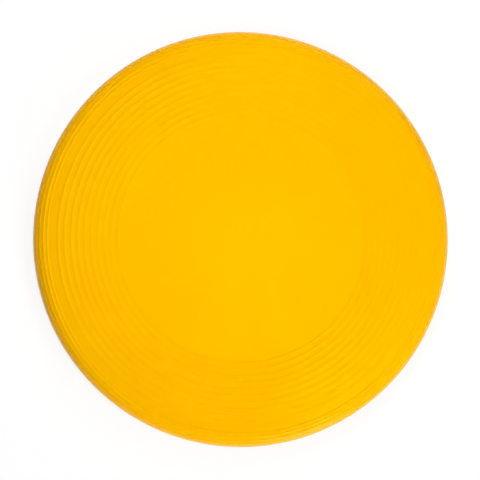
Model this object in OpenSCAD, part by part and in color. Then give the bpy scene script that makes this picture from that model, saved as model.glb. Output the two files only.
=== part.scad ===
// Flying disc: one injection-moulded shell, drawn as one section and revolved.
//
// A flat round plate runs out through a shallow crown into a rounded nose and a short
// straight rim wall, which ends in a thicker foot. Low round-topped ridges stand on the
// skin: the flight rings on the crown, and the grip ridges on the nose. The disc lies on
// its foot, with the flat side up. The origin is at the middle of the foot's plane, and
// +Z runs up the spin axis. All sizes are in millimetres.

/* [Disc] */
// Outside diameter, measured at the foot of the rim
disc_d = 230; // [200:1:290]
// Height from the foot to the flat top
disc_h = 21; // [20:0.5:30]
// Diameter of the flat middle of the plate
flat_d = 132; // [70:0.5:150]

/* [Shell] */
// Thickness of the plate
plate_t = 1.4; // [1:0.1:2.5]
// Thickness of the rim wall
rim_t = 1.9; // [1.4:0.1:3.5]

/* [Rim] */
// Height of the centre of the nose, where the straight wall ends
wall_h = 10; // [7:0.5:12]
// Outside radius of the nose, which turns the crown down into the wall
nose_r = 7.8; // [5:0.1:9]
// Draft of the wall, which lets the moulding leave its tool
draft = 1; // [0.5:0.25:3]
// Width of the foot across its rounded edges
foot_w = 2.6; // [2.4:0.1:4.5]
// Height of the thicker foot
foot_h = 3; // [2.5:0.25:5]
// Radius of the foot's rounded edges
foot_r = 0.8; // [0.4:0.1:1.1]

/* [Flight rings] */
// Spacing of the flight rings along the skin
ring_pitch = 3.64; // [2.5:0.01:8]
// Distance along the skin from the edge of the flat to the crest of the first ring
ring_inset = 2.6; // [1.2:0.05:10]
// Width of a ring at its root
ring_w = 2.4; // [1.2:0.1:2.4]
// Height of a ring above the skin
ring_h = 0.17; // [0.1:0.01:0.4]
// Narrowest that the plain band between the rings and the grip ridges may be
band_w = 3.5; // [3:0.5:15]

/* [Grip ridges] */
// Number of grip ridges on the nose
grip_n = 4; // [2:1:6]
// Spacing of the grip ridges along the skin
grip_pitch = 2.2; // [1.8:0.05:2.6]
// Distance along the skin from the end of the nose up to the crest of the lowest ridge
grip_rest = 5.4; // [2.5:0.1:6]
// Width of a grip ridge at its root
grip_w = 1.4; // [0.8:0.1:1.7]
// Height of a grip ridge above the skin
grip_h = 0.22; // [0.1:0.01:0.3]

/* [Mould marks] */
// Diameter of the shallow dimple round the gate, under the middle of the plate
dimple_d = 14; // [8:1:30]
// Depth of the dimple
dimple_h = 0.35; // [0.2:0.05:0.6]
// Diameter of the stub that is left where the runner was twisted off
stub_d = 3; // [2:0.25:5]
// Height of the stub, kept below the plate's underside
stub_h = 0.25; // [0.1:0.05:0.3]
// Number of ejector pins that push the plate off its core
pin_n = 6; // [4:1:12]
// Diameter of the pins, and of the marks that they leave
pin_d = 6; // [4:0.5:10]
// Distance from the pins' edge to the edge of the flat
pin_inset = 5; // [2:1:15]
// Depth of the marks in the plate's underside
pin_mark = 0.12; // [0.05:0.01:0.3]

/* [Hidden] */

ridge_steps = 8; // flats across a ridge
skin_step = 1.5; // degrees of lean between points on plain skin
edge_step = 15; // degrees between points on a rounded edge
air = 1; // how far a cut starts outside the plastic

// The nose ends where its skin has leant over to the wall's draft.
nose_end = 90 - draft;
// Centre of the nose, shared by the outer and the inner skin.
nose_x = disc_d / 2 - (wall_h - foot_r) * tan(draft) - nose_r / cos(draft);

// A skin is [flat radius, top height, crown radius, nose radius, lean where nose starts].
// The crown is tangent to the flat and to the nose, which fixes its radius.
function crown_radius(drop, nose) =
    let (span = nose_x - flat_d / 2)
    (span * span + drop * drop - nose * nose) / (2 * (drop - nose));

function make_skin(top, nose) =
    let (
        crown = crown_radius(top - wall_h, nose),
        start = asin((nose_x - flat_d / 2) / (crown - nose))
    )
    [flat_d / 2, top, crown, nose, start];

function arc_length(r, degrees) = r * degrees * PI / 180;
function arc_degrees(r, length) = length / r * 180 / PI;
function crown_length(skin) = arc_length(skin[2], skin[4]);
function skin_length(skin) = skin[0] + crown_length(skin) + arc_length(skin[3], nose_end - skin[4]);

// Lean of the skin from level, in degrees, at a distance along it from the axis.
function lean(skin, along) =
    let (past_flat = along - skin[0], past_crown = past_flat - crown_length(skin))
    past_flat <= 0 ? 0
    : past_crown <= 0 ? arc_degrees(skin[2], past_flat)
    : min(nose_end, skin[4] + arc_degrees(skin[3], past_crown));

// Point of the skin where it has that lean, lifted off it along its normal.
function at_lean(skin, a, lift = 0) =
    a < skin[4]
    ? [skin[0], skin[1] - skin[2]] + (skin[2] + lift) * [sin(a), cos(a)]
    : [nose_x, wall_h] + (skin[3] + lift) * [sin(a), cos(a)];

// Point of the skin at a distance along it, on the flat and down the wall too.
function on_skin(skin, along, lift = 0) =
    let (a = lean(skin, along))
    at_lean(skin, a, lift)
        + min(0, along - skin[0]) * [cos(a), -sin(a)]
        + max(0, along - skin_length(skin)) * [cos(a), -sin(a)];

// A plain stretch of skin: its two ends, and between them a point every skin_step degrees.
function plain(skin, from, to) = [
    on_skin(skin, from),
    for (i = [floor(lean(skin, from) / skin_step) + 1 : ceil(lean(skin, to) / skin_step) - 1])
        at_lean(skin, i * skin_step),
    on_skin(skin, to)
];

// A ridge: a raised cosine across the skin, so it swells from it and back with no step.
function ridge(skin, crest, w, h) =
    [for (i = [0 : ridge_steps])
        let (across = i / ridge_steps - 0.5)
        on_skin(skin, crest + across * w, h * (1 + cos(360 * across)) / 2)];

// A rounded edge from one direction to another, both measured up from +X.
function edge(centre, r, from, to) =
    let (n = ceil(abs(to - from) / edge_step))
    [for (i = [0 : n])
        let (a = from + (to - from) * i / n)
        centre + r * [cos(a), sin(a)]];

ceiling = disc_h - plate_t;
outer = make_skin(disc_h, nose_r);
inner = make_skin(ceiling, nose_r - rim_t);

grip_last = skin_length(outer) - grip_rest;
grip_first = grip_last - (grip_n - 1) * grip_pitch;
ring_first = outer[0] + ring_inset;
ring_limit = grip_first - grip_w / 2 - band_w - ring_w / 2;
ring_n = floor((ring_limit - ring_first) / ring_pitch) + 1;
ring_last = ring_first + (ring_n - 1) * ring_pitch;

// Top of the disc from the axis out to the end of the nose, ridges and all.
function top_edge() = [
    [0, disc_h],
    [flat_d / 2, disc_h],
    each [for (i = [0 : ring_n - 1])
        each ridge(outer, ring_first + i * ring_pitch, ring_w, ring_h)],
    each plain(outer, ring_last + ring_w / 2, grip_first - grip_w / 2),
    each [for (i = [0 : grip_n - 1])
        each ridge(outer, grip_first + i * grip_pitch, grip_w, grip_h)],
    each plain(outer, grip_last + grip_w / 2, skin_length(outer))
];

// The foot, from the outside round to the inner wall above its thicker stretch.
function foot_edge() =
    let (
        out = disc_d / 2,
        swell = foot_w - rim_t
    )
    [
        each edge([out - foot_r, foot_r], foot_r, 0, -90),
        each edge([out - foot_w + foot_r, foot_r], foot_r, 270, 180),
        each edge([out - rim_t, foot_h - swell], swell, 180, 90 + draft)
    ];

// Underside from the inner end of the nose back to the axis, with the gate mark.
function under_edge() =
    let (
        out = plain(inner, inner[0], skin_length(inner)),
        last = len(out) - 1
    )
    [
        each [for (i = [0 : last]) out[last - i]],
        [dimple_d / 2, ceiling],
        [dimple_d / 2 - dimple_h, ceiling + dimple_h],
        [stub_d / 2, ceiling + dimple_h],
        [stub_d / 2, ceiling + dimple_h - stub_h],
        [0, ceiling + dimple_h - stub_h]
    ];

// The round marks of the ejector pins, sunk a little into the plate's underside.
module pin_marks() {
    for (i = [0 : pin_n - 1])
        rotate(i * 360 / pin_n)
            translate([flat_d / 2 - pin_inset - pin_d / 2, 0, ceiling - air])
                cylinder(d = pin_d, h = air + pin_mark, $fn = 48);
}

module disc() {
    color("gold")
        difference() {
            rotate_extrude($fn = 180)
                polygon(concat(top_edge(), foot_edge(), under_edge()));
            pin_marks();
        }
}

disc();
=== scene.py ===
"""A yellow flying disc of satin polypropylene, lying on its foot on a pale floor."""

import math

import bpy
import numpy as np
from mathutils import Matrix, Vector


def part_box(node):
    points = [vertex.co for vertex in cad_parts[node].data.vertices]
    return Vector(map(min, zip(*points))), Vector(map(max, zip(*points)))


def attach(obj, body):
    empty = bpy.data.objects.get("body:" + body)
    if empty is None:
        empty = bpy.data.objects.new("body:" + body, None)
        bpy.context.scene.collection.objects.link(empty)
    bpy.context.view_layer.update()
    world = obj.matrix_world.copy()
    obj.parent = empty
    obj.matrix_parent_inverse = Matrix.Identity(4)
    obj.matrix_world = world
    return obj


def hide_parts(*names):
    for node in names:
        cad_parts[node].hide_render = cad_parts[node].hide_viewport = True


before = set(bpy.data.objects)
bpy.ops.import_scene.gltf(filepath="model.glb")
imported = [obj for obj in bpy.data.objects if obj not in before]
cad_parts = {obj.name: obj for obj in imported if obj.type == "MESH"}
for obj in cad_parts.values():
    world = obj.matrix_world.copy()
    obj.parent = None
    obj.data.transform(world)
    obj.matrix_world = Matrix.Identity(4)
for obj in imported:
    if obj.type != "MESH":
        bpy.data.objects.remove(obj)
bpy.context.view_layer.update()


# ---------------------------------------------------------------- The disc
# One shot of yellow polypropylene, injection moulded through a gate at the middle of its
# underside: a flat plate, a ringed crown, a rounded nose with grip ridges, and a rim wall
# with a thicker foot. Six pins push it off the core of its mould.

MM = 0.001
disc_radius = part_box("disc")[1].x

plate_top = 21.0 * MM
plate_t = 1.4 * MM
flat_radius = 66.0 * MM
rim_t = 1.9 * MM
wall_top = 10.0 * MM
nose_radius = 7.8 * MM
draft = math.radians(1.0)
foot_width = 2.6 * MM
foot_height = 3.0 * MM
foot_edge_radius = 0.8 * MM

ring_pitch = 3.64 * MM
ring_first = flat_radius + 2.6 * MM
ring_count = 10
ring_width = 2.4 * MM
ring_height = 0.17 * MM

grip_pitch = 2.2 * MM
grip_rest = 5.4 * MM
grip_count = 4
grip_width = 1.4 * MM
grip_height = 0.22 * MM

nose_x = (disc_radius - (wall_top - foot_edge_radius) * math.tan(draft)
          - nose_radius / math.cos(draft))
nose_end = math.pi / 2 - draft


def make_skin(top, nose):
    """A skin from the axis to the wall: flat, then an arc tangent to the flat and to the
    nose, then the nose's arc round the shared centre. Tangency fixes the crown's radius:
    (span^2 + drop^2 - nose^2) / (2 (drop - nose)), where span and drop lead from the
    flat's edge to the nose's centre."""
    span = nose_x - flat_radius
    drop = top - wall_top
    crown = (span ** 2 + drop ** 2 - nose ** 2) / (2 * (drop - nose))
    start = math.asin(span / (crown - nose))
    crown_end = flat_radius + crown * start
    return {"top": top, "crown": crown, "nose": nose, "start": start,
            "crown_end": crown_end, "end": crown_end + nose * (nose_end - start)}


def skin_point(skin, along, lift=0.0):
    """Radius and height of the skin at distances along it from the axis, lifted off it
    along its normal. The lean grows as distance over radius on each arc, and each arc's
    point is its centre plus (radius + lift) (sin lean, cos lean)."""
    on_crown = np.clip(along - flat_radius, 0, skin["crown"] * skin["start"]) / skin["crown"]
    on_nose = np.clip(along - skin["crown_end"], 0, skin["end"] - skin["crown_end"]) / skin["nose"]
    lean = on_crown + on_nose
    is_nose = along >= skin["crown_end"]
    arc = np.where(is_nose, skin["nose"], skin["crown"]) + lift
    centre_r = np.where(is_nose, nose_x, flat_radius)
    centre_z = np.where(is_nose, wall_top, skin["top"] - skin["crown"])
    straight = np.minimum(along - flat_radius, 0) + np.maximum(along - skin["end"], 0)
    return (centre_r + arc * np.sin(lean) + straight * np.cos(lean),
            centre_z + arc * np.cos(lean) - straight * np.sin(lean))


def ridges(along, first, pitch, count, width, height):
    """Lift of a set of ridges: over each crest's width, half the height times
    (1 + cos) of the distance across it, so it swells from the skin with no step."""
    nearest = first + pitch * np.clip(np.round((along - first) / pitch), 0, count - 1)
    across = np.clip((along - nearest) / width, -0.5, 0.5)
    return height * (1 + np.cos(2 * np.pi * across)) / 2


def rounded(centre_r, centre_z, radius, start, stop, steps=8):
    """A rounded edge: its centre plus the radius in directions swept from start to stop."""
    turn = np.radians(np.linspace(start, stop, steps))
    return centre_r + radius * np.cos(turn), centre_z + radius * np.sin(turn)


outer = make_skin(plate_top, nose_radius)
inner = make_skin(plate_top - plate_t, nose_radius - rim_t)
ceiling = plate_top - plate_t

# The top, out from the axis, with the rings and the grip ridges standing on the skin.
points_per_ridge = 16
flat_steps = 8
along = np.concatenate([
    np.linspace(0, flat_radius, flat_steps, endpoint=False),
    np.arange(flat_radius, outer["end"], ring_pitch / points_per_ridge),
])
grip_first = outer["end"] - grip_rest - (grip_count - 1) * grip_pitch
ring_lift = ridges(along, ring_first, ring_pitch, ring_count, ring_width, ring_height)
grip_lift = ridges(along, grip_first, grip_pitch, grip_count, grip_width, grip_height)
top_r, top_z = skin_point(outer, along, ring_lift + grip_lift)

# The wall, and the foot that thickens it.
wall_steps = 6
wall_r = np.linspace(top_r[-1], disc_radius, wall_steps)[1:-1]
wall_z = np.linspace(top_z[-1], foot_edge_radius, wall_steps)[1:-1]
swell = foot_width - rim_t
foot_out = rounded(disc_radius - foot_edge_radius, foot_edge_radius, foot_edge_radius, 0, -90)
foot_in = rounded(disc_radius - foot_width + foot_edge_radius, foot_edge_radius,
                  foot_edge_radius, 270, 180)
foot_top = rounded(disc_radius - rim_t, foot_height - swell, swell,
                   180, 90 + math.degrees(draft))

# The underside, back to the axis. Between pin_outer and pin_inner it is flat and gets the
# pins' marks. The gate's dimple is sunk into it, with the stub of the runner inside.
pin_count = 6
pin_radius = 3.0 * MM
pin_inset = 5.0 * MM
pin_circle = flat_radius - pin_inset - pin_radius
pin_depth = 0.12 * MM
pin_margin = 0.8 * MM
pin_outer = pin_circle + pin_radius + pin_margin
pin_inner = pin_circle - pin_radius - pin_margin
pin_rows = 5
dimple_radius = 7.0 * MM
dimple_depth = 0.35 * MM
stub_radius = 1.5 * MM
stub_height = 0.25 * MM
gate_edge = 0.1 * MM
gate_floor = 3.5 * MM
stub_dip = 0.6 * MM

nose_steps, crown_steps, border_steps, middle_steps = 22, 16, 3, 10
back_r, back_z = skin_point(inner, np.concatenate([
    np.linspace(inner["end"], inner["crown_end"], nose_steps),
    np.linspace(inner["crown_end"], flat_radius, crown_steps)[1:],
    np.linspace(flat_radius, pin_outer, border_steps)[1:-1],
    np.linspace(pin_outer, pin_inner, pin_rows + 1),
    np.linspace(pin_inner, dimple_radius, middle_steps)[1:-1],
]))
dimple_in = dimple_radius - dimple_depth
gate_r = np.concatenate([
    dimple_radius + gate_edge * np.array([1, 0, -1]),
    dimple_in + gate_edge * np.array([1, 0, -1]),
    [gate_floor],
    stub_radius + gate_edge * np.array([1.5, 0.5, 0, -0.5, -2]),
    [stub_dip, 0],
])
gate_z = ceiling + np.concatenate([
    dimple_depth * np.array([0, 0.086, 0.286, 0.714, 0.914, 1, 1]),
    dimple_depth - stub_height * np.array([0, 0.1, 0.5, 0.9, 1, 0.92, 0.8]),
])

section_r = np.concatenate([top_r, wall_r, foot_out[0], foot_in[0], foot_top[0], back_r, gate_r])
section_z = np.concatenate([top_z, wall_z, foot_out[1], foot_in[1], foot_top[1], back_z, gate_z])

# The section goes round the axis as (radius cos, radius sin, height). Its two ends lie on
# the axis, so each is a single pole with a fan of triangles.
turn_count = 240
turns = np.arange(turn_count) * 2 * np.pi / turn_count
grid = np.stack([
    section_r[1:-1, None] * np.cos(turns),
    section_r[1:-1, None] * np.sin(turns),
    np.broadcast_to(section_z[1:-1, None], (len(section_r) - 2, turn_count)),
], axis=-1)
index = 1 + np.arange(grid[..., 0].size).reshape(grid.shape[:2])
after = np.roll(index, -1, axis=1)
points = [[[0, 0, section_z[0]]], grid.reshape(-1, 3), [[0, 0, section_z[-1]]]]
point_count = index.size + 2
fans = [np.stack([np.zeros(turn_count, int), index[0], after[0]], axis=-1),
        np.stack([np.full(turn_count, point_count - 1), after[-1], index[-1]], axis=-1)]

# Each pin's mark is a round patch let into the flat: circles of points about the pin's axis,
# joined to a loop of the grid's own points round a gap left in it. Their lift is the
# mark's depth times a step that is rounded at both its edges.
foot_row = len(index) - len(back_r) - len(gate_r)  # where the foot ends, as a row of the grid
first_row = foot_row + 1 + int(np.argmin(abs(back_r - pin_outer)))
last_row = first_row + pin_rows
reach = 5  # columns of the grid to either side of a pin
rows = np.arange(first_row, last_row + 1)
keep = np.ones((len(index) - 1, turn_count), bool)
step_radii = pin_radius + np.array([0.15, 0.05, 0, -0.05, -0.15]) * MM
step_rise = pin_depth * np.array([0, 0.12, 0.5, 0.88, 1])
marks = []
for pin in range(pin_count):
    middle = pin * turn_count // pin_count
    cols = (middle + np.arange(-reach, reach + 1)) % turn_count
    keep[first_row:last_row, cols[:-1]] = False
    loop = np.concatenate([index[first_row, cols], index[rows[1:-1], cols[-1]],
                           index[last_row, cols[::-1]], index[rows[-2:0:-1], cols[0]]])
    centre = pin_circle * np.array([math.cos(turns[middle]), math.sin(turns[middle])])
    start = grid.reshape(-1, 3)[loop[0] - 1][:2] - centre
    swing = math.atan2(start[1], start[0]) + np.arange(len(loop)) * 2 * np.pi / len(loop)
    step = np.stack([
        centre[0] + step_radii[:, None] * np.cos(swing),
        centre[1] + step_radii[:, None] * np.sin(swing),
        np.broadcast_to(ceiling + step_rise[:, None], (len(step_radii), len(loop))),
    ], axis=-1)
    points += [step.reshape(-1, 3), [[*centre, ceiling + pin_depth]]]
    step_index = point_count + np.arange(step[..., 0].size).reshape(step.shape[:2])
    lines = np.concatenate([loop[None], step_index])
    beside = np.roll(lines, -1, axis=1)
    marks.append(np.stack([lines[:-1], lines[1:], beside[1:], beside[:-1]], axis=-1).reshape(-1, 4))
    point_count += step_index.size + 1
    fans.append(np.stack([lines[-1], np.full(len(loop), point_count - 1), beside[-1]], axis=-1))

quads = np.stack([index[:-1], index[1:], after[1:], after[:-1]], axis=-1)[keep]
faces = np.concatenate([quads, *marks]).tolist() + np.concatenate(fans).tolist()
mesh = bpy.data.meshes.new("disc_shell")
mesh.from_pydata(np.concatenate(points).tolist(), [], faces)
mesh.shade_smooth()
mesh.update()
disc = bpy.data.objects.new("disc_shell", mesh)
bpy.context.scene.collection.objects.link(disc)

# How far up a ridge each point stands, 0 to 1, and 1 over the underside that the core
# forms, for the material.
crest = np.zeros(point_count, np.float32)
under = np.zeros(point_count, np.float32)
row_crest = np.zeros(len(section_r))
row_crest[:len(along)] = np.maximum(ring_lift / ring_height, grip_lift / grip_height)
crest[1:1 + index.size] = np.repeat(row_crest[1:-1], turn_count)
under[1 + foot_row * turn_count:] = 1
for name, values in (("crest", crest), ("under", under)):
    mesh.attributes.new(name, "FLOAT", "POINT").data.foreach_set("value", values)


def linear(hex_colour):
    """An sRGB hex colour as linear RGBA: c / 12.92 near black, else ((c + 0.055) / 1.055)^2.4."""
    parts = [int(hex_colour[i:i + 2], 16) / 255 for i in (1, 3, 5)]
    return [c / 12.92 if c <= 0.04045 else ((c + 0.055) / 1.055) ** 2.4 for c in parts] + [1.0]


def node(tree, kind, settings={}, inputs={}, output=0):
    """Adds a node with its settings, feeds its inputs with values or with other nodes'
    outputs, and gives back one of its own outputs."""
    made = tree.nodes.new(kind)
    for name, value in settings.items():
        setattr(made, name, value)
    for name, value in inputs.items():
        if isinstance(value, bpy.types.NodeSocket):
            tree.links.new(value, made.inputs[name])
        else:
            made.inputs[name].default_value = value
    return made.outputs[output]


# Polypropylene takes a strong yellow pigment and shrinks off its mould with a satin skin.
# The cavity was blasted with fine grit, and the grit's pits break up most of the mirror
# reflection, so the specular level is low and only a broad soft gleam shows. The plastic ran
# out from the gate and leaves faint rays of deeper colour. The core is as the lathe left it.
yellow = "#FFBB00"
yellow_deep = "#FFB900"
yellow_rubbed = "#FFC940"

plastic = bpy.data.materials.new("satin_polypropylene")
plastic.use_nodes = True
tree = plastic.node_tree
shader = tree.nodes["Principled BSDF"]
shader.inputs["IOR"].default_value = 1.49
shader.inputs["Specular IOR Level"].default_value = 0.18
shader.inputs["Specular Tint"].default_value = linear("#FFC800")
place = node(tree, "ShaderNodeTexCoord", output="Object")
crest_here = node(tree, "ShaderNodeAttribute", {"attribute_name": "crest"}, output="Fac")
under_here = node(tree, "ShaderNodeAttribute", {"attribute_name": "under"}, output="Fac")
multiply, add, subtract = ({"operation": name} for name in ("MULTIPLY", "ADD", "SUBTRACT"))
smooth = {"interpolation_type": "SMOOTHSTEP"}

# Rays: noise on the direction from the axis, a little stretched along the radius, that
# fades in between 12 and 45 mm out. Clouds 28 mm across lie over them.
ray_spacing = 0.12  # radians round the axis
ray_stretch = 12.0  # per metre out
cloud_size = 28 * MM
level = node(tree, "ShaderNodeVectorMath", multiply, {0: place, 1: (1, 1, 0)})
radius = node(tree, "ShaderNodeVectorMath", {"operation": "LENGTH"}, {0: level}, "Value")
heading = node(tree, "ShaderNodeVectorMath", {"operation": "NORMALIZE"}, {0: level})
stretch = node(tree, "ShaderNodeMath", multiply, {0: radius, 1: ray_stretch})
outward = node(tree, "ShaderNodeCombineXYZ", inputs={"Z": stretch})
ray_place = node(tree, "ShaderNodeVectorMath", add, {0: heading, 1: outward})
ray = node(tree, "ShaderNodeTexNoise", inputs={"Vector": ray_place, "Scale": 1 / ray_spacing})
fade = node(tree, "ShaderNodeMapRange", smooth,
            {"Value": radius, "From Min": 12 * MM, "From Max": 45 * MM})
rays = node(tree, "ShaderNodeMath", multiply, {0: ray, 1: fade})
cloud = node(tree, "ShaderNodeTexNoise", inputs={"Vector": place, "Scale": 1 / cloud_size})
both = node(tree, "ShaderNodeMath", add, {0: rays, 1: cloud})
pigment = node(tree, "ShaderNodeMapRange", smooth,
               {"Value": both, "From Min": 0.5, "From Max": 4 / 3})

# Rubbing: the foot slides over ground and shelves, and its lowest 3 mm lose their satin in
# short scratches 0.9 mm across.
scratch_size = 0.9 * MM
rub_paleness = 0.35
height = node(tree, "ShaderNodeSeparateXYZ", inputs={"Vector": place}, output="Z")
scuff = node(tree, "ShaderNodeTexNoise",
             inputs={"Vector": place, "Scale": 1 / scratch_size, "Detail": 4.0})
scratch = node(tree, "ShaderNodeMapRange", smooth,
               {"Value": scuff, "From Min": 0.52, "From Max": 0.66})
near_foot = node(tree, "ShaderNodeMapRange", smooth,
                 {"Value": height, "From Min": 0.3 * MM, "From Max": 3.2 * MM,
                  "To Min": 1.0, "To Max": 0.0})
rubbed = node(tree, "ShaderNodeMath", multiply, {0: scratch, 1: near_foot})
rubbed_tint = node(tree, "ShaderNodeMath", multiply, {0: rubbed, 1: rub_paleness})

# A colour Mix node takes its two colours at sockets 6 and 7, and gives the mix at 2.
pigmented = node(tree, "ShaderNodeMix", {"data_type": "RGBA"},
                 {"Factor": pigment, 6: linear(yellow), 7: linear(yellow_deep)}, 2)
colour = node(tree, "ShaderNodeMix", {"data_type": "RGBA"},
              {"Factor": rubbed_tint, 6: pigmented, 7: linear(yellow_rubbed)}, 2)
tree.links.new(colour, shader.inputs["Base Color"])

# Gloss: satin all over in patches 17 mm across, a little smoother on the crests that hands
# polish, and duller where it is rubbed.
patch_size = 17 * MM
crest_polish = 0.04
rub_dulling = 0.2
handling = node(tree, "ShaderNodeTexNoise",
                inputs={"Vector": place, "Scale": 1 / patch_size, "Detail": 3.0})
satin = node(tree, "ShaderNodeMapRange", smooth,
             {"Value": handling, "From Min": 0.3, "From Max": 0.7,
              "To Min": 0.19, "To Max": 0.23})
polish = node(tree, "ShaderNodeMath", multiply, {0: crest_here, 1: crest_polish})
polished = node(tree, "ShaderNodeMath", subtract, {0: satin, 1: polish})
dulling = node(tree, "ShaderNodeMath", multiply, {0: rubbed, 1: rub_dulling})
roughness = node(tree, "ShaderNodeMath", add, {0: polished, 1: dulling})
tree.links.new(roughness, shader.inputs["Roughness"])

# Relief: the blasted grain is 0.1 mm across in reality and is drawn at 0.35 mm, so that it
# shows. The lathe's grooves in the core print as rings 0.5 mm apart on the underside.
grain_size = 0.35 * MM
grain_depth = 0.003 * MM
groove_pitch = 0.5 * MM
groove_depth = 0.006 * MM
grit = node(tree, "ShaderNodeTexNoise", inputs={"Vector": place, "Scale": 1 / grain_size})
blasted = node(tree, "ShaderNodeMath", multiply, {0: grit, 1: grain_depth})
groove_place = node(tree, "ShaderNodeCombineXYZ", inputs={"X": radius})
groove = node(tree, "ShaderNodeTexNoise",
              inputs={"Vector": groove_place, "Scale": 1 / groove_pitch})
turned = node(tree, "ShaderNodeMath", multiply, {0: groove, 1: groove_depth})
grooves = node(tree, "ShaderNodeMath", multiply, {0: turned, 1: under_here})
grain = node(tree, "ShaderNodeMath", add, {0: blasted, 1: grooves})
relief = node(tree, "ShaderNodeBump", inputs={"Height": grain, "Distance": 1.0})
tree.links.new(relief, shader.inputs["Normal"])

disc.data.materials.append(plastic)

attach(disc, "root")
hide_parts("disc")


# ---------------------------------------------------------------- The floor
# A sheet of white paper, wide enough that its edges never show. It lights the rim from
# below as paper does, and the eye sees it evenly white but for the disc's own soft shadow.
floor_half = 3.0
even_share = 0.8  # of even white, over the paper as it is lit, with its shadow
floor_mesh = bpy.data.meshes.new("floor")
floor_mesh.from_pydata(
    [(-floor_half, -floor_half, 0), (floor_half, -floor_half, 0),
     (floor_half, floor_half, 0), (-floor_half, floor_half, 0)], [], [(0, 1, 2, 3)])
floor = bpy.data.objects.new("floor", floor_mesh)
bpy.context.scene.collection.objects.link(floor)
paper = bpy.data.materials.new("white_paper")
paper.use_nodes = True
tree = paper.node_tree
sheet = tree.nodes["Principled BSDF"]
sheet.inputs["Base Color"].default_value = linear("#F2F2F2")
sheet.inputs["Roughness"].default_value = 0.9
sheet.inputs["Specular IOR Level"].default_value = 0.1
seen_straight = node(tree, "ShaderNodeLightPath", output="Is Camera Ray")
seen_in_gloss = node(tree, "ShaderNodeLightPath", output="Is Glossy Ray")
seen_through = node(tree, "ShaderNodeLightPath", output="Is Transmission Ray")
seen_either = node(tree, "ShaderNodeMath", add, {0: seen_straight, 1: seen_in_gloss})
seen = node(tree, "ShaderNodeMath", add, {0: seen_either, 1: seen_through})
evenness = node(tree, "ShaderNodeMath", {"operation": "MULTIPLY", "use_clamp": True},
                {0: seen, 1: even_share})
white = node(tree, "ShaderNodeEmission", inputs={"Color": linear("#FFFFFF"), "Strength": 1.05})
blend = node(tree, "ShaderNodeMixShader",
             inputs={0: evenness, 1: sheet.outputs["BSDF"], 2: white})
tree.links.new(blend, tree.nodes["Material Output"].inputs["Surface"])
floor.data.materials.append(paper)


# ---------------------------------------------------------------- Light
# Square white softboxes on stands round the table and one overhead, with a weak even
# light from the room. The low ones graze the rings, so that each shows as a soft line.
world = bpy.data.worlds.new("studio")
world.use_nodes = True
world.node_tree.nodes["Background"].inputs["Color"].default_value = linear("#FFFFFF")
world.node_tree.nodes["Background"].inputs["Strength"].default_value = 0.030
bpy.context.scene.world = world

disc_middle = (0, 0, 10 * MM)


def aim(thing, bearing, elevation, distance, target=disc_middle):
    """Puts a lamp or camera at a distance from the target, in a direction given by its
    bearing, anticlockwise from +X, and its elevation, and turns it to face the target
    with its own up as near +Y as can be."""
    b, e = math.radians(bearing), math.radians(elevation)
    back = np.array([math.cos(b) * math.cos(e), math.sin(b) * math.cos(e), math.sin(e)])
    right = np.cross([0, 1, 0], back)
    right /= np.linalg.norm(right)
    turn = np.eye(4)
    turn[:3, 0], turn[:3, 1], turn[:3, 2] = right, np.cross(back, right), back
    turn[:3, 3] = np.array(target) + back * distance
    thing.matrix_world = Matrix(turn)


def softbox(name, bearing, elevation, distance, side, watts):
    """A square soft lamp that faces the disc."""
    data = bpy.data.lights.new(name, "AREA")
    data.shape = "SQUARE"
    data.size = side
    data.energy = watts
    lamp = bpy.data.objects.new(name, data)
    bpy.context.scene.collection.objects.link(lamp)
    aim(lamp, bearing, elevation, distance)


# Name, bearing, elevation, distance, side and watts.
softbox("low", -68, 12, 2.5, 1.1, 44)
softbox("back", 63, 21, 1.15, 1.15, 6.4)
softbox("near_back", 80, 55, 0.5, 0.2, 0.5)
softbox("key", -45, 60, 0.5, 0.15, 0.65)
softbox("left", 155, 65, 0.5, 0.3, 0.75)
softbox("fill", -150, 55, 1.0, 0.15, 0.65)
softbox("top", 10, 85, 2.5, 0.1, 3)


# ---------------------------------------------------------------- Camera
# A long lens above the disc, tipped a few degrees from straight down, so that the rings
# sit slightly off the middle of a round outline.
scene = bpy.context.scene
scene.view_settings.view_transform = "Standard"
camera = bpy.data.objects.new("camera", bpy.data.cameras.new("camera"))
scene.collection.objects.link(camera)
scene.camera = camera
camera_distance = 1.5
camera_target = (-0.00043, -0.00037, 0.0045)
view_width = 0.2663  # what the frame spans at the target
camera.data.lens = camera.data.sensor_width * camera_distance / view_width
aim(camera, -145.8, 85.3, camera_distance, target=camera_target)
